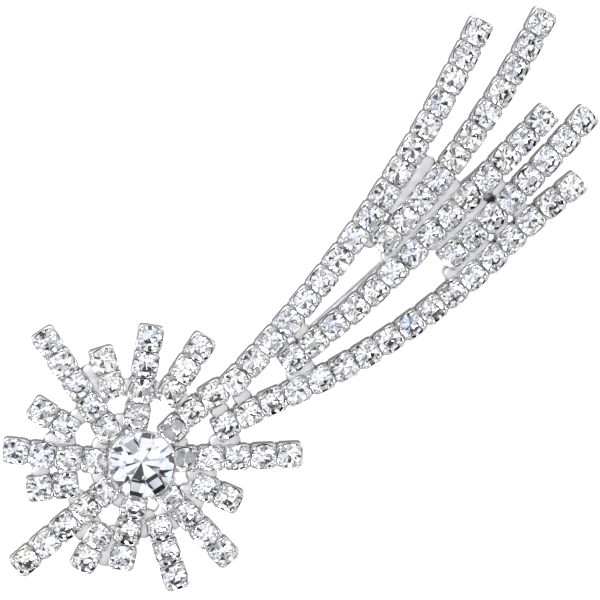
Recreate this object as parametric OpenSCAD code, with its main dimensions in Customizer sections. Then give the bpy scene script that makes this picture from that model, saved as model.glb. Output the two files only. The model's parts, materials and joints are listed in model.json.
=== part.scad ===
// Shooting-star hair clip: rhinestone cup chain soldered into a burst with five tail strands,
// carried on the fixed jaw of a sprung alligator clip.
// +Z points out of the jewelled face, +X runs along the clip from the burst to the tail.
// The origin is on the gripping face of the fixed jaw, at the middle of its length and width.

/* [Cup chain] */
// Distance from one stone to the next along a chain
pitch = 3.42; // [3.4:0.01:3.6]
// Width of a square cup
cup_w = 3.36; // [3.3:0.01:3.38]
// Cut across each corner of a cup
cup_corner = 0.45; // [0.4:0.05:0.6]
// Height of a cup's wall above its underside
cup_h = 1.58; // [1.5:0.01:1.6]
// Thickness of a cup's floor and of the tabs that link the cups
floor_t = 0.25; // [0.2:0.05:0.3]
// Diameter of the hole in a cup's floor
floor_hole_d = 1.0; // [0.8:0.1:1.4]
// Diameter of a prong's post
prong_d = 0.56; // [0.5:0.02:0.6]
// Diameter of the rounded tip that holds a stone
prong_tip_d = 0.6; // [0.54:0.02:0.62]

/* [Stones] */
// Girdle diameter of a chain stone
stone_d = 3.2; // [3.0:0.01:3.22]
// Girdle diameter of the centre stone
centre_d = 8.5; // [8.3:0.05:8.6]
// Number of prongs around the centre stone
centre_prongs = 8; // [6:1:12]

/* [Layout] */
// Centre of the burst, along X and Y
burst_centre = [-36.6, 2.5]; // [-40:0.1:40]
// Radius within which the burst's cups are soldered
burst_r = 16; // [15:0.5:17]
// Furthest apart that two neighbouring cups of the burst are still soldered together
burst_reach = 4.8; // [4.5:0.05:5]
// The same among the tail's strands
tail_reach = 4.5; // [4.3:0.05:4.7]
// The same in the lattice, where the strands run side by side
lattice_reach = 5.3; // [5:0.05:5.4]
// Where the lattice starts and ends along X
lattice_x = [8, 16.5]; // [0:0.5:30]
// Distance along X beyond which the strands hang free of each other
free_x = 23; // [20:0.5:30]
// Thickness of the solder under the cups
solder_t = 0.25; // [0.2:0.05:0.3]

/* [Clip] */
// Length of the fixed arm, from the jaw's tip to the end of its lever
clip_l = 35; // [34:0.5:38]
// Distance from the jaw's tip to the hinge pin
jaw_l = 25.4; // [24:0.2:26]
// Thickness of both arms' sheet
sheet_t = 0.7; // [0.6:0.05:0.8]
// Width of the arms at the hinge
clip_w = 5.5; // [5.4:0.1:6]
// Width of the fixed lever at its end
lever_w = 4; // [3.6:0.1:5]
// Width of the jaws at their tips
tip_w = 2.4; // [2.2:0.1:3]
// Depth of the pin below the fixed jaw's gripping face
pin_depth = 2.2; // [2.1:0.05:2.4]
// Diameter of the hinge pin
pin_d = 1.2; // [1.1:0.05:1.3]
// Angle at which the moving lever stands away from the fixed one
lever_spread = 20; // [18:1:30]
// Number of teeth across the grip
teeth = 4; // [3:1:5]

/* [Hidden] */
// Each ray: distance and bearing of its first stone from the burst centre, heading, stones
RAYS = [
    [5.6, -38.5, -39, 5],
    [9.8, 27, 16, 3],
    [6.0, 55, 40, 4],
    [10.7, 70.5, 66.5, 2],
    [6.2, 95.5, 83, 5],
    [10.9, 114, 106, 2],
    [6.0, 138.5, 131.5, 4],
    [10.2, 157, 145, 2],
    [6.1, 180, 180.5, 5],
    [11.3, 200, 201.5, 2],
    [6.1, 220, 217.5, 3],
    [9.2, 244.5, 246.5, 3],
    [6.0, 267, 272.5, 4],
    [9.0, 295.5, 295, 2],
];
// Each strand: where its first stone is, then its runs as steps, first heading, bend per step
STRANDS = [
    ["a", [-30.8, 2.9], [[3, 4.5, -6.5], [16, 6.5, 1.15]]],
    ["b", [6.05, 3.85], [[10, 7, 1.65]]],
    ["c", [-13.1, -0.2], [[3, -1, -0.15], [4, 2, 1.45], [6, 4.5, 0.4]]],
    ["d", [11.4, -3.3], [[7, 2.5, 1]]],
    ["e", [-25.4, -1.2], [[3, -11, -3.05], [9, -15, 2.15], [4, 5, -2.2]]],
];
ray_ids = [for (i = [0:len(RAYS) - 1]) i];
strand_ids = [for (i = [0:len(STRANDS) - 1]) i];

$fn = 48;
steel = [0.74, 0.75, 0.77];
silver = [0.84, 0.85, 0.87];
crystal = [0.93, 0.95, 1.0];

// Heights of the stack: clip sheet, solder, cups, stones
cup_z = sheet_t + solder_t;
seat_r = 1.42;
stone_r = stone_d / 2;
girdle_t = 0.1;
pavilion_h = 1.4;
culet_h = 0.35;
girdle_h = culet_h + pavilion_h;
crown_h = 0.55;
table_r = 0.8;
prong_reach = stone_r + 0.315;
tip_reach = stone_r + 0.135;
prong_h = girdle_h + girdle_t + 0.32;
link_w = 2.6;

// Centre stone and its tapered setting
centre_r = centre_d / 2;
centre_girdle_z = cup_z + 3.4;
centre_pavilion_h = 3.3;
centre_crown_h = 1.35;
centre_girdle_t = 0.15;
centre_table_r = 2.3;
setting_z = sheet_t - 0.1;
setting_base_r = 3.5;
setting_wall = 0.3;
setting_waist_r = 3.75;
setting_waist_z = 2.6;
setting_bore_r = setting_base_r - 1.2;
setting_floor_z = cup_z + 0.1;
setting_lip_r = centre_r + 0.2;
setting_seat_z = centre_girdle_z - 0.25;
setting_seat_r = centre_r - 0.3;
centre_prong_d = 0.6;
centre_prong_h = 1.35;
centre_prong_z = setting_seat_z - 0.45;
centre_tip_d = 0.76;
centre_tip_z = setting_seat_z + 0.95;

// Clip
tip_x = -jaw_l / 2;
hinge_x = tip_x + jaw_l;
lever_x = tip_x + clip_l;
shoulder_x = hinge_x - 3.2;
shoulder_w = tip_w + 0.2;
moving_lever_w = lever_w - 0.8;
ear_t = 0.5;
ear_gap = 0.1;
fixed_ear_r = 1.45;
moving_ear_r = 1.35;
pin_play = 0.05;
pin_head_r = 0.95;
pin_head_t = 0.25;
moving_w = clip_w - 2 * (ear_t + ear_gap);
grip_l = 3;
jaw_play = 0.03;
tooth_h = 0.35;
tooth_start = 0.4;
tooth_pitch = 0.6;
tooth_w = 1.6;
grip_z = -jaw_play - tooth_h;
coil_r = 1.1;
coil_wire_d = 0.42;
leg_wire_d = 0.36;
coil_w = 2.6;
coil_clear = coil_r + coil_wire_d / 2 + 0.04;
spring_leg_l = 7.5;
ear_root = 0.3;
sheet_drop = sheet_t / cos(lever_spread);

// Solder
solder_r = 0.95;
ring_solder_r = setting_base_r + 0.9;
burst_end = burst_centre.x + burst_r;

// ---- Layout ----

function ray_node(i, what) = str("ray_", i < 9 ? "0" : "", i + 1, "_", what);
function strand_node(i, what) = str("strand_", STRANDS[i][0], "_", what);

// A place is [x, y, heading]
function step(p, heading) = [
    p[0] + pitch * cos(heading), p[1] + pitch * sin(heading), heading
];
function ray_places(ray) = let(
    start = burst_centre + ray[0] * [cos(ray[1]), sin(ray[1])]
) [for (k = [0:ray[3] - 1]) [
    start.x + k * pitch * cos(ray[2]), start.y + k * pitch * sin(ray[2]), ray[2]
]];
function headings(runs) = [for (run = runs) for (k = [0:run[0] - 1]) run[1] + k * run[2]];
function walk(places, turns, k = 0) =
    k == len(turns) ? places
    : walk(concat(places, [step(places[k], turns[k])]), turns, k + 1);
function strand_places(strand) = let(turns = headings(strand[2])) walk(
    [[strand[1].x, strand[1].y, turns[0]]], turns
);
CHAINS = concat(
    [for (ray = RAYS) ray_places(ray)],
    [for (strand = STRANDS) strand_places(strand)]
);
function flat(p) = [p[0], p[1]];

// How far apart two cups near a point may be and still be soldered together
function reach_at(p) =
    p.x < burst_end ? burst_reach
    : p.x > lattice_x[0] && p.x < lattice_x[1] ? lattice_reach
    : p.x < free_x ? tail_reach : 0;
// Middles of the gaps between cups of different chains that touch
function touching_pairs() = [
    for (i = [0:len(CHAINS) - 2]) for (j = [i + 1:len(CHAINS) - 1])
        for (p = CHAINS[i]) for (q = CHAINS[j])
            let(middle = (flat(p) + flat(q)) / 2)
                if (norm(flat(p) - flat(q)) < reach_at(middle)) middle
];
// Points on the setting's base in line with each cup of the inner ring
function ring_contacts() = [
    for (chain = CHAINS) let(out = flat(chain[0]) - burst_centre)
        if (norm(out) < setting_base_r + pitch)
            burst_centre + out * ring_solder_r / norm(out)
];
// Cups of strand c that lie over the fixed arm
function clip_contacts() = [
    for (p = strand_places(STRANDS[2]))
        if (p[0] > tip_x && p[0] < lever_x - 1) flat(p)
];

module at(p, z) {
    translate([p[0], p[1], z]) rotate(p[2]) children();
}

// ---- Cup chain ----

module cup_outline() {
    w = cup_w / 2;
    c = w - cup_corner;
    polygon([[w, -c], [w, c], [c, w], [-c, w], [-w, c], [-w, -c], [-c, -w], [c, -w]]);
}

module prong() {
    rotate(45) {
        translate([prong_reach, 0, 0]) cylinder(h = prong_h, d = prong_d);
        translate([tip_reach, 0, prong_h]) sphere(d = prong_tip_d);
    }
}

module cup() {
    difference() {
        linear_extrude(cup_h) cup_outline();
        translate([0, 0, floor_t]) cylinder(h = cup_h, r = seat_r);
        translate([0, 0, -1]) cylinder(h = cup_h, d = floor_hole_d);
    }
    difference() {
        for (k = [0:3]) rotate(90 * k) prong();
        translate([0, 0, floor_t]) cylinder(h = cup_h - floor_t, r = seat_r);
    }
}

module link_tab(p, q) {
    gap = flat(q) - flat(p);
    translate([p[0], p[1], cup_z]) rotate(atan2(gap.y, gap.x))
        translate([cup_w / 2 - 0.2, -link_w / 2, 0])
            cube([norm(gap) - cup_w + 0.4, link_w, floor_t]);
}

module cup_chain(places) {
    color(silver) {
        for (p = places) at(p, cup_z) cup();
        for (k = [0:len(places) - 2]) link_tab(places[k], places[k + 1]);
    }
}

module faceted_stone(r, pavilion, girdle, crown, table) {
    rotate_extrude() polygon([
        [0, 0], [r, pavilion], [r, pavilion + girdle],
        [table, pavilion + girdle + crown], [0, pavilion + girdle + crown]
    ]);
}

module chain_stones(places) {
    color(crystal) for (p = places) at(p, cup_z + culet_h)
        faceted_stone(stone_r, pavilion_h, girdle_t, crown_h, table_r);
}

// ---- Centre ----

module centre_setting() {
    wall = setting_wall;
    color(silver) translate([burst_centre.x, burst_centre.y, 0]) {
        rotate_extrude() polygon([
            [setting_bore_r, setting_z], [setting_base_r, setting_z],
            [setting_base_r, cup_z], [setting_waist_r, setting_waist_z],
            [setting_waist_r + 0.3, cup_z + prong_h],
            [setting_lip_r, setting_seat_z - 0.5], [setting_lip_r, setting_seat_z],
            [setting_seat_r, setting_seat_z],
            [setting_waist_r + 0.3 - wall, cup_z + prong_h - 0.4],
            [setting_waist_r - wall, setting_waist_z],
            [setting_base_r - wall, setting_floor_z], [setting_bore_r, setting_floor_z]
        ]);
        for (k = [0:centre_prongs - 1]) rotate(360 * (k + 0.5) / centre_prongs) {
            translate([centre_r + 0.34, 0, centre_prong_z])
                cylinder(h = centre_prong_h, d = centre_prong_d);
            translate([centre_r + 0.12, 0, centre_tip_z]) sphere(d = centre_tip_d);
        }
    }
}

module centre_stone() {
    color(crystal)
        translate([burst_centre.x, burst_centre.y, centre_girdle_z - centre_pavilion_h])
            faceted_stone(centre_r, centre_pavilion_h, centre_girdle_t,
                          centre_crown_h, centre_table_r);
}

// ---- Solder ----

module solder_joints() {
    color(silver) difference() {
        for (p = concat(touching_pairs(), ring_contacts(), clip_contacts()))
            translate([p.x, p.y, sheet_t]) cylinder(h = solder_t, r = solder_r);
        translate([burst_centre.x, burst_centre.y, 0]) cylinder(h = 2, r = setting_base_r);
    }
}

// ---- Clip ----

// Plan of an arm: narrow jaw with a round tip, shoulders at the ears, tapered round-ended lever
module arm_plan(w_hinge, w_lever, h) {
    end_r = w_lever / 2;
    ear_l = fixed_ear_r + 0.15;
    linear_extrude(h) polygon([
        [tip_x + tip_w / 2, -tip_w / 2], [shoulder_x, -shoulder_w / 2],
        [hinge_x - ear_l, -w_hinge / 2], [hinge_x + ear_l, -w_hinge / 2],
        [lever_x - end_r, -end_r], [lever_x - end_r, end_r],
        [hinge_x + ear_l, w_hinge / 2], [hinge_x - ear_l, w_hinge / 2],
        [shoulder_x, shoulder_w / 2], [tip_x + tip_w / 2, tip_w / 2]
    ]);
    translate([tip_x + tip_w / 2, 0, 0]) cylinder(h = h, d = tip_w);
    translate([lever_x - end_r, 0, 0]) cylinder(h = h, r = end_r);
}

// A bar along Y through the hinge axis
module across(r, w, y = 0) {
    translate([hinge_x, y + w / 2, -pin_depth]) rotate([90, 0, 0]) cylinder(h = w, r = r);
}

module fixed_arm() {
    color(steel) difference() {
        union() {
            arm_plan(clip_w, lever_w, sheet_t);
            for (side = [-1, 1]) {
                y = side * (clip_w - ear_t) / 2;
                across(fixed_ear_r, ear_t, y);
                translate([hinge_x - fixed_ear_r, y - ear_t / 2, -pin_depth])
                    cube([2 * fixed_ear_r, ear_t, pin_depth + sheet_t / 2]);
            }
        }
        across(pin_d / 2, clip_w + 2);
    }
}

// Height of the moving arm's upper face at a distance x ahead of or behind the pin
function moving_top(x) = let(
    bend = -coil_clear / cos(lever_spread),
    tip = [tip_x + grip_l - hinge_x, grip_z + pin_depth]
) x > 0 ? bend - x * tan(lever_spread) : bend + x * (tip.y - bend) / tip.x;

// Side profile of the moving arm, around the pin: jaw rising to its grip, bend, lever falling away
module moving_profile() {
    jaw = tip_x - hinge_x;
    lever = lever_x - hinge_x;
    grip = grip_z + pin_depth;
    polygon([
        [jaw, grip], [jaw + grip_l, grip], [0, moving_top(0)], [lever, moving_top(lever)],
        [lever, moving_top(lever) - sheet_drop], [0, moving_top(0) - sheet_drop],
        [jaw + grip_l, grip - sheet_t], [jaw, grip - sheet_t]
    ]);
}

// Ear of the moving arm, from its plate up around the pin
module moving_ear_profile() {
    r = moving_ear_r;
    circle(r = r);
    polygon([
        [-r, 0], [-r, moving_top(-r) - ear_root], [0, moving_top(0) - ear_root],
        [r, moving_top(r) - ear_root], [r, 0]
    ]);
}

// A side profile around the pin, drawn out to a width along Y
module side_plate(w, y = 0) {
    translate([hinge_x, y + w / 2, -pin_depth]) rotate([90, 0, 0]) linear_extrude(w) children();
}

module moving_arm() {
    color(steel) difference() {
        union() {
            intersection() {
                side_plate(2 * clip_w) moving_profile();
                translate([0, 0, -20]) arm_plan(moving_w, moving_lever_w, 40);
            }
            for (side = [-1, 1])
                side_plate(ear_t, side * (moving_w - ear_t) / 2) moving_ear_profile();
            for (k = [0:teeth - 1])
                translate([tip_x + tooth_start + tooth_pitch * k, tooth_w / 2, 0])
                    rotate([90, 0, 0]) linear_extrude(tooth_w) polygon([
                        [0, grip_z - 0.1], [tooth_pitch - 0.1, grip_z - 0.1],
                        [tooth_pitch / 2 - 0.05, -jaw_play]
                    ]);
        }
        across(pin_d / 2 + pin_play, clip_w + 2);
    }
}

module hinge_pin() {
    color(steel) {
        across(pin_d / 2, clip_w);
        for (side = [-1, 1])
            across(pin_head_r, pin_head_t, side * (clip_w + pin_head_t) / 2);
    }
}

// The coil around the pin, with one leg under the fixed lever and one along the moving lever
module torsion_spring() {
    outer = coil_r + coil_wire_d / 2;
    y = (coil_w - coil_wire_d) / 2;
    reach = pin_depth - coil_wire_d / 2 - 0.02;
    rise = asin(reach / norm([coil_r, spring_leg_l])) - atan(coil_r / spring_leg_l);
    color(steel) {
        difference() {
            across(outer, coil_w);
            across(outer - coil_wire_d, coil_w + 1);
        }
        spring_leg(y, coil_r, rise);
        spring_leg(-y, -coil_r, -lever_spread);
    }
}

// A straight leg that leaves the coil at a tangent, rise degrees above +X
module spring_leg(y, tangent, rise) {
    translate([hinge_x, y, -pin_depth]) rotate([0, -rise, 0]) translate([0, 0, tangent])
        rotate([0, 90, 0]) cylinder(h = spring_leg_l, d = leg_wire_d);
}

// ---- Assembly ----

for (i = ray_ids) {
    cup_chain(CHAINS[i]);
    chain_stones(CHAINS[i]);
}
for (i = strand_ids) {
    cup_chain(CHAINS[len(RAYS) + i]);
    chain_stones(CHAINS[len(RAYS) + i]);
}
centre_setting();
centre_stone();
solder_joints();
fixed_arm();
moving_arm();
hinge_pin();
torsion_spring();
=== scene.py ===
"""Looks for the shooting-star hair clip: cup chain with faceted crystals on a sprung clip.

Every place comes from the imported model: the stones give the places of the cups, the clip's
own nodes give its shapes. Lengths are in millimetres until a mesh is made. The materials,
the floor, the lamp and the camera are in metres.
"""

import json
import math
import random

import bpy
import numpy as np
from mathutils import Matrix, Vector


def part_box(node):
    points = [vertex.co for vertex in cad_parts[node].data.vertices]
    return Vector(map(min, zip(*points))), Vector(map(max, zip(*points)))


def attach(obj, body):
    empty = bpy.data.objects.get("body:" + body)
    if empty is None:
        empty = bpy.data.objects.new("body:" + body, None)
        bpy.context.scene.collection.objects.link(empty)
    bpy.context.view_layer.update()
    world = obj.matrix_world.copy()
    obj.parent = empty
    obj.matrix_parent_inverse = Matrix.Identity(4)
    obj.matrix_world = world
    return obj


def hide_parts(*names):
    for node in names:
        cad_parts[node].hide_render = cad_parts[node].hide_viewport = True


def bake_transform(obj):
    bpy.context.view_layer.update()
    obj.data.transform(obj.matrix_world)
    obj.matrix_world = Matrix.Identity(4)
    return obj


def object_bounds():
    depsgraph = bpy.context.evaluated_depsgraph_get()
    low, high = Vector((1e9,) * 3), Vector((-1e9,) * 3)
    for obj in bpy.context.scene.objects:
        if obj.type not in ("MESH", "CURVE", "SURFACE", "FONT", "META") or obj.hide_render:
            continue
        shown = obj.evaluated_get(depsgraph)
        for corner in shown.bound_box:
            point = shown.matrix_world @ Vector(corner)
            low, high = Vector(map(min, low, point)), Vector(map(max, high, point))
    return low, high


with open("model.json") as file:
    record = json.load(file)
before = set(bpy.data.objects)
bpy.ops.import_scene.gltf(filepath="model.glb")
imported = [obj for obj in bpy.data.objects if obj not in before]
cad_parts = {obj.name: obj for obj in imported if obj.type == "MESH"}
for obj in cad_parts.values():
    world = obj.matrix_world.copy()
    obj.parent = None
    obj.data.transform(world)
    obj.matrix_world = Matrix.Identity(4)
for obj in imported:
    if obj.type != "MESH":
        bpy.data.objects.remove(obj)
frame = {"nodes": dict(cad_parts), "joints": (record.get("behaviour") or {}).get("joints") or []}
cad_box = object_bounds()

MM = 0.001
ROOT = "ornament"
CLIP = "moving_arm"
CHAIN_NODES = sorted(n[: -len("_cups")] for n in frame["nodes"] if n.endswith("_cups"))

# A chain cup: half its width, the radii of its corners and holes, and heights above its own
# underside. The wall's top dips between the corners.
CUP_HALF = 1.68
CUP_CORNER = 0.56
WALL_TOP = 1.8
WALL_DIP = 0.12
BORE_R = 1.65
SEAT_R = 1.42
SEAT_Z = 1.5
FLOOR_T = 0.25
FLOOR_HOLE_R = 0.5
CUP_SIDES = 48

# A prong's foot and shoulder, then its tip, as (distance out, height)
PRONG_POST = ((1.88, 0.5), (1.92, 1.72))
PRONG_TIP = (1.27, 2.17)
PRONG_SCALE = 1.25
# Its width and thickness at a scale of 1, and the share of its path where it rounds off
PRONG_W, PRONG_T = 0.5, 0.3
PRONG_ROUND_FROM = 0.72

# Stones. The pavilion's narrow facets end at a share of the radius.
STONE_R = 1.62
STONE_GIRDLE = 0.1
PAVILION_BREAK = 0.55
# What differs from stone to stone: how far the point is lifted, the height of the crown, the
# table's share of the radius, and the tilt in radians
STONE_LIFT = (0, 0.16)
STONE_CROWN = (0.45, 0.56)
STONE_TABLE = (0.5, 0.58)
STONE_TILT = 0.02
CENTRE_TABLE = 0.56
CENTRE_CROWN = 1.05
CENTRE_GIRDLE = 0.15
CENTRE_TURN = math.radians(60)
CENTRE_PRONGS = 8

# How far apart two cups may be and still be soldered: in the burst, in the lattice between
# two places along X, and in the rest of the tail as far as the strands' free ends
BURST_REACH, LATTICE_REACH, TAIL_REACH = 4.8, 5.3, 4.5
BURST_R, LATTICE_X, FREE_X = 16.0, (8.0, 16.5), 23.0
# Where the solder meets the centre setting, and how near the cups are that it holds there
RING_SOLDER_R, RING_CUP_R = 4.4, 6.9
# Radius and height of a drop between cups, and of a pad between a cup and the clip
DROP_R, DROP_H = 1.35, 1.7
PAD_R, PAD_H = 0.95, 0.25
# How finely the drops are melted into one skin, and how often it's smoothed
MELT_GRAIN = 0.13
MELT_PASSES = 8

# How far the edges of the clip's strip and of its pin are eased
STRIP_EASE, PIN_EASE = 0.08, 0.1

# The spring's wire, coil and legs. The coil has about half a turn more than its whole turns.
# One leg rises to the fixed lever, the other falls to the moving one.
WIRE_R = 0.19
COIL_R = 1.1
WHOLE_TURNS = 4
LEG_L = 7.4
LEG_RISE = math.radians(6.7)
LEVER_SPREAD = math.radians(20)

# Depth of the fine marks on metal, in metres
MARK_DEPTH = 0.00002


# ---- Mesh helpers ----


class Mesh:
    """Gathers vertices, faces and a material number for each face, in millimetres."""

    def __init__(self):
        self.verts, self.faces, self.slots = [], [], []
        self.count = 0

    def add(self, verts, faces, slots=0, matrix=None):
        verts = np.asarray(verts, float)
        if matrix is not None:
            m = np.array(matrix)
            verts = verts @ m[:3, :3].T + m[:3, 3]
        self.verts.append(verts)
        base = self.count
        self.faces.extend([tuple(i + base for i in f) for f in faces])
        self.slots.extend(slots if isinstance(slots, list) else [slots] * len(faces))
        self.count += len(verts)

    def piece(self, name, materials, body=ROOT, smooth=True):
        data = bpy.data.meshes.new(name)
        verts = np.concatenate(self.verts) * MM
        data.from_pydata(verts.tolist(), [], self.faces)
        for material in materials:
            data.materials.append(material)
        data.polygons.foreach_set("material_index", self.slots)
        data.polygons.foreach_set("use_smooth", [smooth] * len(self.faces))
        data.validate()
        data.update()
        obj = bpy.data.objects.new(name, data)
        bpy.context.collection.objects.link(obj)
        if body:
            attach(obj, body)
        return obj


def bridge(n, count, looped=False):
    """Faces between rings of n points, numbered one ring after another. The last ring joins
    the first one if looped, or else both ends are closed."""
    faces = []
    for k in range(count if looped else count - 1):
        a, b = k * n, ((k + 1) % count) * n
        for i in range(n):
            j = (i + 1) % n
            faces.append((a + i, a + j, b + j, b + i))
    if not looped:
        faces.append(tuple(range(n - 1, -1, -1)))
        faces.append(tuple(range((count - 1) * n, count * n)))
    return faces


def revolve(profile, sides):
    """A closed ring of (radius, height) points turned about Z."""
    verts = []
    for r, z in profile:
        for k in range(sides):
            a = 2 * math.pi * k / sides
            verts.append((r * math.cos(a), r * math.sin(a), z))
    return verts, bridge(sides, len(profile), looped=True)


def square_reach(angle, half, corner):
    """Distance from the middle of a rounded square to its outline along an angle."""
    a = abs((angle + math.pi / 4) % (math.pi / 2) - math.pi / 4)
    inner = half - corner
    if half * math.tan(a) <= inner:
        return half / math.cos(a)
    # Meets the corner's arc, whose middle is (inner, inner)
    along = inner * (math.cos(a) + math.sin(a))
    return along + math.sqrt(along * along - 2 * inner * inner + corner * corner)


# ---- Cup ----


def cup_template():
    """Wall, seat and pierced floor of one cup, as one closed mesh."""
    # Radius or half width, height, and whether the ring is a rounded square
    rings = [
        (FLOOR_HOLE_R, 0.0, False),
        (CUP_HALF - 0.12, 0.0, True),
        (CUP_HALF - 0.03, 0.04, True),
        (CUP_HALF, 0.14, True),
        (CUP_HALF, WALL_TOP - 0.1, True),
        (CUP_HALF - 0.02, WALL_TOP, True),
        (BORE_R + 0.01, WALL_TOP, False),
        (BORE_R, WALL_TOP - 0.04, False),
        (BORE_R, SEAT_Z, False),
        (SEAT_R, SEAT_Z, False),
        (SEAT_R, FLOOR_T, False),
        (FLOOR_HOLE_R, FLOOR_T, False),
    ]
    verts = []
    for size, z, square in rings:
        for k in range(CUP_SIDES):
            a = 2 * math.pi * k / CUP_SIDES
            r = square_reach(a, size, CUP_CORNER) if square else size
            dip = WALL_DIP * (1 - abs(math.sin(2 * a))) if z > SEAT_Z else 0
            verts.append((r * math.cos(a), r * math.sin(a), z - dip))
    # The faces that start at these rings are the bright rim, and the rest takes the darker metal:
    # painted shade on the cup's sides, bore and floor
    rim = (4, 5, 6)
    slots = []
    for k in range(len(rings)):
        slots += [0 if k in rim else 1] * CUP_SIDES
    return verts, bridge(CUP_SIDES, len(rings), looped=True), slots


def ribbon(path, widths, thicks, sides=12):
    """A rounded strip swept along (distance out, height) points in the XZ plane."""
    verts = []
    path = [Vector((x, 0, z)) for x, z in path]
    for k, p in enumerate(path):
        ahead = path[min(k + 1, len(path) - 1)] - path[max(k - 1, 0)]
        ahead.normalize()
        across = Vector((0, 1, 0))
        out = across.cross(ahead)
        for i in range(sides):
            a = 2 * math.pi * i / sides
            c, s = math.cos(a), math.sin(a)
            w = math.copysign(abs(c) ** 0.8, c) * widths[k] / 2
            t = math.copysign(abs(s) ** 0.8, s) * thicks[k] / 2
            verts.append(tuple(p + across * w + out * t))
    return verts, bridge(sides, len(path))


def prong_template(post, tip, scale):
    """One prong: up the corner of the wall, then folded over the crown. post and tip are
    (distance out, height) points of its foot, its shoulder and its tip."""
    (x0, z0), (x1, z1) = post
    x2, z2 = tip
    steps = 9
    path = [(x0, z0), ((x0 + x1) / 2, (z0 + z1) / 2)]
    for k in range(steps + 1):
        t = k / steps
        # A bend from straight up the post to lying on the crown
        bx, bz = x1 + 0.02, z1 + 0.34 * scale
        x = (1 - t) ** 2 * x1 + 2 * t * (1 - t) * bx + t * t * x2
        z = (1 - t) ** 2 * z1 + 2 * t * (1 - t) * bz + t * t * z2
        path.append((x, z))
    n = len(path)
    widths, thicks = [], []
    for k in range(n):
        t = k / (n - 1)
        past = max(0.0, (t - PRONG_ROUND_FROM) / (1 - PRONG_ROUND_FROM))
        round_off = math.sqrt(max(0.0, 1 - past ** 2.4)) * 0.9 + 0.1
        widths.append(PRONG_W * scale * (1 - 0.12 * t) * round_off)
        thicks.append(PRONG_T * scale * (1 - 0.2 * t) * round_off)
    return ribbon(path, widths, thicks)


# ---- Stones ----


def chaton(r, table, crown, girdle, pavilion, culet_z=0.0):
    """Machine-cut chaton: an octagonal table, 8 wide and 8 narrow facets above the girdle,
    8 mains and 8 narrow facets below it. Slot 0 is the glass above, slot 1 the foiled girdle
    and back."""
    step = math.pi / 4
    low = culet_z + pavilion
    high = low + girdle

    def ring(radius, z, offset, n):
        return [
            (radius * math.cos(2 * math.pi * k / n + offset),
             radius * math.sin(2 * math.pi * k / n + offset), z)
            for k in range(n)
        ]

    # The inner ring lies in the planes of the mains
    inner = PAVILION_BREAK
    inner_z = low - pavilion * (1 - inner * math.cos(step / 2) / math.cos(step / 4))
    verts = ring(table * r, high + crown, 0, 8)
    verts += ring(r, high, step / 4, 16)
    verts += ring(r, low, step / 4, 16)
    verts += ring(inner * r, inner_z, 0, 8)
    verts += [(0, 0, culet_z)]
    upper, lower, deep, culet = 8, 24, 40, 48
    faces, slots = [tuple(range(8))], [0]
    for k in range(8):
        j = (k + 1) % 8
        g, gn, gp = 2 * k, 2 * k + 1, (2 * k - 1) % 16
        faces += [
            (k, upper + g, upper + gn, j), (k, upper + gp, upper + g),
            (upper + g, lower + g, lower + gn, upper + gn),
            (upper + gp, lower + gp, lower + g, upper + g),
            (culet, deep + j, lower + gn, lower + g, deep + k),
            (deep + k, lower + g, lower + gp),
        ]
        slots += [0, 0, 1, 1, 1, 1]
    return verts, faces, slots


# ---- Places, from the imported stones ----


def culets(node):
    """Where the points of a node's stones are, in millimetres: its lowest vertices, and one
    of each close group of them."""
    level, apart = 0.002, 0.5
    co = np.array([v.co for v in frame["nodes"][node].data.vertices]) / MM
    low = co[co[:, 2] < co[:, 2].min() + level]
    found = []
    for p in low:
        if all(np.hypot(*(p[:2] - q[:2])) > apart for q in found):
            found.append(p)
    return found


def chain_places():
    """For each chain, its cups as (x, y, heading), from the one nearest the burst's centre."""
    centre = culets("centre_stone")[0]
    places = {}
    for chain in CHAIN_NODES:
        points = sorted(
            culets(chain + "_stones"), key=lambda p: np.hypot(*(p[:2] - centre[:2]))
        )
        out = []
        for k, p in enumerate(points):
            a, b = (p, points[k + 1]) if k + 1 < len(points) else (points[k - 1], p)
            out.append((p[0], p[1], math.atan2(b[1] - a[1], b[0] - a[0])))
        places[chain] = out
    return places


PLACES = chain_places()
CUP_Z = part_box("ray_01_cups")[0].z / MM
CULET_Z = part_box("ray_01_stones")[0].z / MM
TABLE_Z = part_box("ray_01_stones")[1].z / MM
CENTRE_LOW, CENTRE_HIGH = (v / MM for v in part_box("centre_stone"))
CENTRE_XY = (CENTRE_LOW + CENTRE_HIGH) / 2
CENTRE_R = (CENTRE_HIGH.x - CENTRE_LOW.x) / 2
SOLDER_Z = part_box("solder_joints")[0].z / MM


def placed(x, y, z, heading=0.0, tilt=(0.0, 0.0)):
    return (
        Matrix.Translation((x, y, z))
        @ Matrix.Rotation(heading, 4, "Z")
        @ Matrix.Rotation(tilt[0], 4, "X")
        @ Matrix.Rotation(tilt[1], 4, "Y")
    )


# ---- Materials ----


def new_material(name):
    mat = bpy.data.materials.new(name)
    mat.use_nodes = True
    nodes, links = mat.node_tree.nodes, mat.node_tree.links
    return mat, nodes, links, nodes["Principled BSDF"]


def object_noise(nodes, links, scale, detail=3.0):
    where = nodes.new("ShaderNodeTexCoord")
    noise = nodes.new("ShaderNodeTexNoise")
    noise.inputs["Scale"].default_value = scale
    noise.inputs["Detail"].default_value = detail
    links.new(where.outputs["Object"], noise.inputs["Vector"])
    return noise


def ramp(nodes, links, source, stops):
    node = nodes.new("ShaderNodeValToRGB")
    node.color_ramp.elements[0].position = stops[0][0]
    node.color_ramp.elements[0].color = (*stops[0][1], 1)
    node.color_ramp.elements[1].position = stops[-1][0]
    node.color_ramp.elements[1].color = (*stops[-1][1], 1)
    for at, colour in stops[1:-1]:
        node.color_ramp.elements.new(at).color = (*colour, 1)
    links.new(source, node.inputs["Fac"])
    return node.outputs["Color"]


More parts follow.
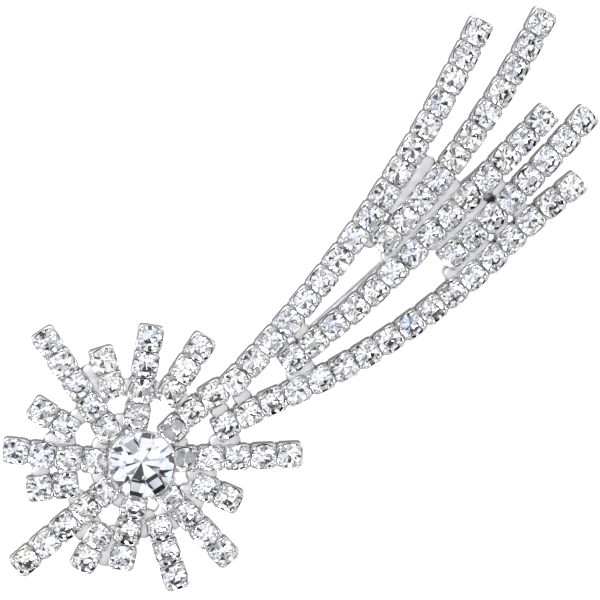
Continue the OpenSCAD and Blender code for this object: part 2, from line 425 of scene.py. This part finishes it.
def bumped(nodes, links, bsdf, height, strength):
    bump = nodes.new("ShaderNodeBump")
    bump.inputs["Strength"].default_value = strength
    bump.inputs["Distance"].default_value = MARK_DEPTH
    links.new(height, bump.inputs["Height"])
    links.new(bump.outputs["Normal"], bsdf.inputs["Normal"])


def spread(nodes, links, source, low, high):
    node = nodes.new("ShaderNodeMapRange")
    node.inputs["To Min"].default_value = low
    node.inputs["To Max"].default_value = high
    links.new(source, node.inputs["Value"])
    return node.outputs["Result"]


def plated_metal(name, dark, light, rough, grain=900.0, bump=0.06, edge=1.0):
    """Bright plating with faint cloudiness, fine polishing marks and uneven gloss. edge is how
    bright it stays where it's seen along its surface."""
    mat, nodes, links, bsdf = new_material(name)
    bsdf.inputs["Metallic"].default_value = 1.0
    bsdf.inputs["Specular Tint"].default_value = (edge, edge, edge, 1)
    cloud = object_noise(nodes, links, grain)
    fine = object_noise(nodes, links, grain * 6, 2.0)
    links.new(ramp(nodes, links, cloud.outputs["Fac"], [(0.3, dark), (0.7, light)]),
              bsdf.inputs["Base Color"])
    links.new(spread(nodes, links, cloud.outputs["Fac"], rough * 0.6, rough * 1.5),
              bsdf.inputs["Roughness"])
    bumped(nodes, links, bsdf, fine.outputs["Fac"], bump)
    return mat


def brushed_steel(name, dark, light, rough):
    """Rolled strip, with fine streaks along the clip."""
    mat, nodes, links, bsdf = new_material(name)
    bsdf.inputs["Metallic"].default_value = 1.0
    where = nodes.new("ShaderNodeTexCoord")
    stretch = nodes.new("ShaderNodeMapping")
    stretch.inputs["Scale"].default_value = (120, 5200, 5200)
    links.new(where.outputs["Object"], stretch.inputs["Vector"])
    streaks = nodes.new("ShaderNodeTexNoise")
    streaks.inputs["Scale"].default_value = 1.0
    streaks.inputs["Detail"].default_value = 4.0
    links.new(stretch.outputs["Vector"], streaks.inputs["Vector"])
    cloud = object_noise(nodes, links, 260.0)
    links.new(ramp(nodes, links, streaks.outputs["Fac"], [(0.35, dark), (0.65, light)]),
              bsdf.inputs["Base Color"])
    links.new(spread(nodes, links, cloud.outputs["Fac"], rough * 0.7, rough * 1.5),
              bsdf.inputs["Roughness"])
    bumped(nodes, links, bsdf, streaks.outputs["Fac"], 0.2)
    return mat


def cut_glass():
    """Clear crystal glass above the girdle."""
    mat, nodes, links, bsdf = new_material("cut_glass")
    bsdf.inputs["Base Color"].default_value = (0.985, 0.99, 1.0, 1)
    bsdf.inputs["Roughness"].default_value = 0.0
    bsdf.inputs["IOR"].default_value = 1.56
    bsdf.inputs["Transmission Weight"].default_value = 1.0
    return mat


def foil_back(name, stops):
    """Silver foil behind the girdle and the facets below it. Its cast changes over about two
    millimetres."""
    mat, nodes, links, bsdf = new_material(name)
    bsdf.inputs["Metallic"].default_value = 1.0
    bsdf.inputs["Roughness"].default_value = 0.03
    cast = object_noise(nodes, links, 420.0, 1.0)
    links.new(ramp(nodes, links, cast.outputs["Fac"], stops), bsdf.inputs["Base Color"])
    return mat


silver = plated_metal("bright_plating", (0.76, 0.76, 0.765), (0.92, 0.92, 0.925), 0.14)
# Darker plating for the cup walls and the links between cups: painted shade that stands in for
# the shadow along the walls, darkened further where it is seen edge-on
painted_shade_silver = plated_metal("plating_painted_shade", (0.24, 0.24, 0.24), (0.38, 0.38, 0.38), 0.25, edge=0.4)
solder_silver = plated_metal(
    "plated_solder", (0.82, 0.82, 0.83), (0.96, 0.96, 0.965), 0.42, 500.0, 0.3
)
steel = brushed_steel("nickel_strip", (0.5, 0.5, 0.52), (0.72, 0.72, 0.74), 0.3)
wire = plated_metal("spring_wire_steel", (0.4, 0.4, 0.42), (0.58, 0.58, 0.6), 0.28, 1500.0)
glass = cut_glass()
foil = foil_back("foil_back", [
    (0.3, (0.98, 0.98, 0.92)), (0.4, (0.97, 0.97, 0.97)), (0.58, (0.97, 0.97, 0.97)),
    (0.66, (0.91, 0.91, 0.99)), (0.74, (0.84, 0.9, 1.0)),
])
centre_foil = foil_back("centre_foil", [
    (0.3, (0.97, 0.965, 1.0)), (0.6, (0.965, 0.97, 1.0)), (0.72, (0.82, 0.91, 1.0)),
])


# ---- Pieces ----


def make_cups():
    wall = cup_template()
    prong = prong_template(PRONG_POST, PRONG_TIP, PRONG_SCALE)
    for chain, places in PLACES.items():
        mesh = Mesh()
        for x, y, heading in places:
            mesh.add(*wall, matrix=placed(x, y, CUP_Z, heading))
            for k in range(4):
                turn = heading + math.radians(45 + 90 * k)
                mesh.add(*prong, matrix=placed(x, y, CUP_Z, turn))
        for (x0, y0, _), (x1, y1, _) in zip(places, places[1:]):
            add_link(mesh, x0, y0, x1, y1)
        # The second material is the darker plating of painted shade on the walls and links
        cups = mesh.piece(chain + "_settings", [silver, painted_shade_silver])
        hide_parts(chain + "_cups")


def add_link(mesh, x0, y0, x1, y1):
    """The strip that joins two cups, folded up between their walls."""
    length = math.hypot(x1 - x0, y1 - y0)
    heading = math.atan2(y1 - y0, x1 - x0)
    foot, top, high = 1.52, 1.26, WALL_TOP - 0.2
    section = [
        (-foot, 0.03), (foot, 0.03), (foot, 0.7), (top, high - 0.1), (top - 0.1, high),
        (-top + 0.1, high), (-top, high - 0.1), (-foot, 0.7),
    ]
    verts = []
    stations = (-0.1, 0.0, 0.1)
    for s in stations:
        verts += [(length / 2 + s, y, z) for y, z in section]
    # The link takes the walls' darker metal, painted shade between the cups
    mesh.add(verts, bridge(len(section), len(stations)), slots=1,
             matrix=placed(x0, y0, CUP_Z, heading))


def make_stones():
    random.seed(7)
    height = TABLE_Z - CULET_Z
    for chain, places in PLACES.items():
        mesh = Mesh()
        for x, y, heading in places:
            raised = random.uniform(*STONE_LIFT)
            crown = random.uniform(*STONE_CROWN)
            shape = chaton(STONE_R, random.uniform(*STONE_TABLE), crown, STONE_GIRDLE,
                           height - crown - STONE_GIRDLE - raised, raised)
            tilt = (random.gauss(0, STONE_TILT), random.gauss(0, STONE_TILT))
            turn = heading + random.uniform(0, math.pi / 4)
            mesh.add(*shape, matrix=placed(x, y, CULET_Z, turn, tilt))
        stones = mesh.piece(chain + "_crystals", [glass, foil], smooth=False)
        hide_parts(chain + "_stones")


def make_centre():
    pavilion = CENTRE_HIGH.z - CENTRE_LOW.z - CENTRE_CROWN - CENTRE_GIRDLE
    shape = chaton(CENTRE_R, CENTRE_TABLE, CENTRE_CROWN, CENTRE_GIRDLE, pavilion)
    mesh = Mesh()
    mesh.add(*shape, matrix=placed(CENTRE_XY.x, CENTRE_XY.y, CENTRE_LOW.z, CENTRE_TURN))
    stone = mesh.piece("centre_crystal", [glass, centre_foil], smooth=False)
    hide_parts("centre_stone")

    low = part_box("centre_setting")[0] / MM
    seat = CENTRE_LOW.z + pavilion - 0.25
    lip = CENTRE_R + 0.2
    # As (radius, height): up the outside of the wall, over its lip, and down the inside
    profile = [
        (2.3, low.z), (3.42, low.z), (3.5, low.z + 0.08), (3.5, low.z + 0.35),
        (3.74, low.z + 2.0), (4.02, seat - 1.0), (lip - 0.04, seat - 0.5), (lip, seat - 0.35),
        (lip, seat - 0.08), (lip - 0.08, seat), (CENTRE_R - 0.22, seat),
        (CENTRE_R - 0.3, seat - 0.08), (3.72, seat - 1.1), (3.4, low.z + 2.0),
        (3.2, low.z + 0.45), (2.3, low.z + 0.45),
    ]
    mesh = Mesh()
    mesh.add(*revolve(profile, 96), matrix=placed(CENTRE_XY.x, CENTRE_XY.y, 0))
    prong = prong_template(
        ((CENTRE_R + 0.3, seat - 0.5), (CENTRE_R + 0.3, seat + 0.5)),
        (CENTRE_R - 0.35, seat + 0.86), 1.35,
    )
    for k in range(CENTRE_PRONGS):
        turn = 2 * math.pi * (k + 0.5) / CENTRE_PRONGS
        mesh.add(*prong, matrix=placed(CENTRE_XY.x, CENTRE_XY.y, 0, turn))
    setting = mesh.piece("centre_bezel", [silver])
    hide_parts("centre_setting")


def solder_blob(radius, top):
    """A flattened drop that lies on the joint and creeps up between the cups."""
    # Shares of the radius and the height, from the edge of the underside to the top
    profile = [(0.92, 0.0), (1.0, 0.1), (0.98, 0.55), (0.92, 0.82), (0.78, 0.96), (0.4, 1.0)]
    sides = 20
    verts = [(0, 0, 0)]
    for r, z in profile:
        for k in range(sides):
            a = 2 * math.pi * k / sides
            reach = r * radius * (1 + 0.05 * math.sin(3 * a + 1) + 0.03 * math.sin(5 * a))
            verts.append((reach * math.cos(a), reach * math.sin(a), z * top))
    verts.append((0, 0, top))
    faces = []
    for k in range(sides):
        j = (k + 1) % sides
        faces.append((0, 1 + j, 1 + k))
    rings = len(profile)
    for q in range(rings - 1):
        for k in range(sides):
            j = (k + 1) % sides
            a, b = 1 + q * sides, 1 + (q + 1) * sides
            faces.append((a + k, a + j, b + j, b + k))
    last = 1 + (rings - 1) * sides
    tip = len(verts) - 1
    for k in range(sides):
        faces.append((last + k, last + (k + 1) % sides, tip))
    return verts, faces


def solder_reach(x):
    """How far apart two cups may be and still be soldered midway between them."""
    if x < CENTRE_XY.x + BURST_R:
        return BURST_REACH
    if LATTICE_X[0] < x < LATTICE_X[1]:
        return LATTICE_REACH
    return TAIL_REACH if x < FREE_X else 0


def make_solder():
    mesh = Mesh()
    drop = solder_blob(DROP_R, DROP_H)
    pad = solder_blob(PAD_R, PAD_H)
    chains = list(PLACES.values())
    for i, one in enumerate(chains):
        for other in chains[i + 1:]:
            for x0, y0, _ in one:
                for x1, y1, _ in other:
                    x, y = (x0 + x1) / 2, (y0 + y1) / 2
                    if math.hypot(x1 - x0, y1 - y0) < solder_reach(x):
                        # Each drop has a turn of its own
                        mesh.add(*drop, matrix=placed(x, y, SOLDER_Z, x * 7 + y * 5))
    for places in chains:
        x, y, _ = places[0]
        gap = Vector((x - CENTRE_XY.x, y - CENTRE_XY.y))
        if gap.length < RING_CUP_R:
            at = Vector((CENTRE_XY.x, CENTRE_XY.y)) + gap.normalized() * RING_SOLDER_R
            mesh.add(*drop, matrix=placed(at.x, at.y, SOLDER_Z))
    low, high = (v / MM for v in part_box("fixed_arm"))
    for x, y, _ in PLACES["strand_c"]:
        if low.x < x < high.x - 1:
            mesh.add(*pad, matrix=placed(x, y, SOLDER_Z))
    joints = mesh.piece("solder_fillets", [solder_silver])
    flow_together(joints)
    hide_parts("solder_joints")


def applied(obj):
    """Puts the result of an object's modifiers into its mesh."""
    depsgraph = bpy.context.evaluated_depsgraph_get()
    final = bpy.data.meshes.new_from_object(obj.evaluated_get(depsgraph))
    final.name = obj.name
    obj.modifiers.clear()
    obj.data = final
    return final


def flow_together(obj):
    """Melts overlapping drops into one skin with hollow fillets between them."""
    melt = obj.modifiers.new("melt", "REMESH")
    melt.mode = "VOXEL"
    melt.voxel_size = MELT_GRAIN * MM
    ease = obj.modifiers.new("ease", "SMOOTH")
    ease.factor = 0.5
    ease.iterations = MELT_PASSES
    applied(obj).shade_smooth()


def eased_copy(node, name, body, material, width):
    """A CAD node's own mesh with its sharp edges eased, as tumbled sheet metal has."""
    data = frame["nodes"][node].data.copy()
    data.name = name
    obj = bpy.data.objects.new(name, data)
    bpy.context.collection.objects.link(obj)
    data.materials.clear()
    data.materials.append(material)
    weld = obj.modifiers.new("weld", "WELD")
    weld.merge_threshold = 1e-6
    flat = obj.modifiers.new("flat", "DECIMATE")
    flat.decimate_type = "DISSOLVE"
    flat.angle_limit = math.radians(1.0)
    bevel = obj.modifiers.new("eased", "BEVEL")
    bevel.width = width * MM
    bevel.segments = 2
    bevel.limit_method = "ANGLE"
    bevel.angle_limit = math.radians(35)
    bevel.harden_normals = False
    final = applied(obj)
    final.shade_smooth()
    final.set_sharp_from_angle(angle=math.radians(30))
    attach(obj, body)
    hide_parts(node)


def spring_path(side):
    """The wire's middle line, about the pin: along one leg to the coil, round it, and out
    along the other leg. side is the coil's half width."""
    start = math.pi / 2 + LEG_RISE
    end = 1.5 * math.pi - LEVER_SPREAD + 2 * math.pi * WHOLE_TURNS
    leg_steps, coil_steps = 8, 168
    path = []
    for k in range(leg_steps + 1):
        t = LEG_L * (1 - k / leg_steps)
        path.append(Vector((
            -COIL_R * math.sin(LEG_RISE) + t * math.cos(LEG_RISE), side,
            COIL_R * math.cos(LEG_RISE) + t * math.sin(LEG_RISE))))
    for k in range(1, coil_steps):
        a = start + (end - start) * k / coil_steps
        y = side - 2 * side * k / coil_steps
        path.append(Vector((COIL_R * math.cos(a), y, COIL_R * math.sin(a))))
    for k in range(leg_steps + 1):
        t = LEG_L * k / leg_steps
        path.append(Vector((
            -COIL_R * math.sin(LEVER_SPREAD) + t * math.cos(LEVER_SPREAD), -side,
            -COIL_R * math.cos(LEVER_SPREAD) - t * math.sin(LEVER_SPREAD))))
    return path


def wire_along(path, radius, sides=12):
    """A round wire whose cross-section doesn't twist along its path."""
    verts = []
    normal = Vector((0, 1, 0))
    for k, p in enumerate(path):
        ahead = (path[min(k + 1, len(path) - 1)] - path[max(k - 1, 0)]).normalized()
        normal = (normal - ahead * normal.dot(ahead)).normalized()
        across = ahead.cross(normal)
        for i in range(sides):
            a = 2 * math.pi * i / sides
            verts.append(tuple(p + (normal * math.cos(a) + across * math.sin(a)) * radius))
    return verts, bridge(sides, len(path))


def make_spring():
    """Music wire: one leg under the fixed lever, the coil, one leg on the moving lever."""
    pin = Vector(frame["joints"][0]["pos_m"]) / MM
    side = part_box("torsion_spring")[1].y / MM - WIRE_R

    def at(y):
        return (pin + Vector((0, y, 0))) * MM

    mesh = Mesh()
    mesh.add(*wire_along(spring_path(side), WIRE_R), matrix=Matrix.Translation(pin))
    spring = mesh.piece("coil_spring", [wire], body=None)
    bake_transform(spring)
    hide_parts("torsion_spring")


make_cups()
make_stones()
make_centre()
make_solder()
eased_copy("fixed_arm", "fixed_jaw_arm", ROOT, steel, STRIP_EASE)
eased_copy("moving_arm", "sprung_jaw_arm", CLIP, steel, STRIP_EASE)
eased_copy("hinge_pin", "riveted_pin", ROOT, steel, PIN_EASE)
make_spring()


# ---- Floor, light and camera ----


def make_floor():
    size = 1.5
    z = cad_box[0][2]
    data = bpy.data.meshes.new("floor")
    data.from_pydata([(-size, -size, z), (size, -size, z), (size, size, z), (-size, size, z)],
                     [], [(0, 1, 2, 3)])
    floor = bpy.data.objects.new("floor", data)
    bpy.context.collection.objects.link(floor)
    mat, nodes, links, bsdf = new_material("pale_floor")
    bsdf.inputs["Base Color"].default_value = (0.92, 0.92, 0.92, 1)
    bsdf.inputs["Roughness"].default_value = 0.8
    bsdf.inputs["Specular IOR Level"].default_value = 0.1
    bsdf.inputs["Emission Color"].default_value = (1, 1, 1, 1)
    bsdf.inputs["Emission Strength"].default_value = 0.7
    data.materials.append(mat)


def make_world():
    """A bright studio dome with dark and grey gaps between its softboxes, dark at the horizon."""
    world = bpy.data.worlds.new("studio")
    bpy.context.scene.world = world
    world.use_nodes = True
    nodes, links = world.node_tree.nodes, world.node_tree.links
    out = nodes["Background"]
    where = nodes.new("ShaderNodeTexCoord")
    split = nodes.new("ShaderNodeSeparateXYZ")
    links.new(where.outputs["Generated"], split.inputs["Vector"])
    cells = nodes.new("ShaderNodeTexNoise")
    cells.inputs["Scale"].default_value = 4.0
    cells.inputs["Detail"].default_value = 0.5
    links.new(where.outputs["Generated"], cells.inputs["Vector"])
    boxes = ramp(nodes, links, cells.outputs["Fac"], [
        (0.38, (0.04, 0.04, 0.045)), (0.40, (0.08, 0.08, 0.085)), (0.41, (0.3, 0.3, 0.31)),
        (0.44, (0.5, 0.5, 0.52)), (0.455, (0.95, 0.95, 0.95)), (0.52, (1.0, 1.0, 1.0)),
        (0.57, (0.8, 0.8, 0.82)), (0.6, (0.62, 0.62, 0.68)), (0.68, (0.4, 0.41, 0.45)),
    ])
    horizon = ramp(nodes, links, split.outputs["Z"], [
        (0.0, (0.04, 0.04, 0.04)), (0.16, (0.08, 0.08, 0.08)), (0.3, (1, 1, 1)),
    ])
    both = nodes.new("ShaderNodeMix")
    both.data_type = "RGBA"
    both.blend_type = "MULTIPLY"
    both.inputs["Factor"].default_value = 1.0
    links.new(boxes, both.inputs[6])
    links.new(horizon, both.inputs[7])
    links.new(both.outputs[2], out.inputs["Color"])
    out.inputs["Strength"].default_value = 1.15


def make_lamp(name, place, size, power):
    data = bpy.data.lights.new(name, "AREA")
    data.shape = "DISK"
    data.size = size
    data.energy = power
    lamp = bpy.data.objects.new(name, data)
    bpy.context.collection.objects.link(lamp)
    lamp.location = place
    middle = Vector((-0.006, 0.005, 0))
    aim = middle - Vector(place)
    lamp.rotation_euler = aim.to_track_quat("-Z", "Y").to_euler()


def make_camera():
    """Almost straight down on the jewelled face, the tail rising to the upper right."""
    target = Vector((-7.5, 5.12, TABLE_Z - 1.0)) * MM
    distance = 0.35
    across = 0.0773
    heading = math.radians(50)     # the picture's upward direction, about +Z from +X
    lean = math.radians(10.5)      # off the vertical
    lean_to = math.radians(85)
    away = Vector((
        math.sin(lean) * math.cos(lean_to), math.sin(lean) * math.sin(lean_to), math.cos(lean)
    ))
    up = Vector((math.cos(heading), math.sin(heading), 0))
    up = (up - away * up.dot(away)).normalized()
    right = up.cross(away)
    data = bpy.data.cameras.new("camera")
    data.sensor_width = 36
    data.lens = 36 * distance / across
    data.clip_start, data.clip_end = 0.01, 10
    camera = bpy.data.objects.new("camera", data)
    bpy.context.collection.objects.link(camera)
    turn = Matrix((right, up, away)).transposed().to_4x4()
    camera.matrix_world = Matrix.Translation(target + away * distance) @ turn
    bpy.context.scene.camera = camera


make_floor()
make_world()
make_lamp("softbox", (-0.25, 0.35, 0.6), 0.35, 2.0)
make_camera()
bpy.context.scene.view_settings.view_transform = "Standard"
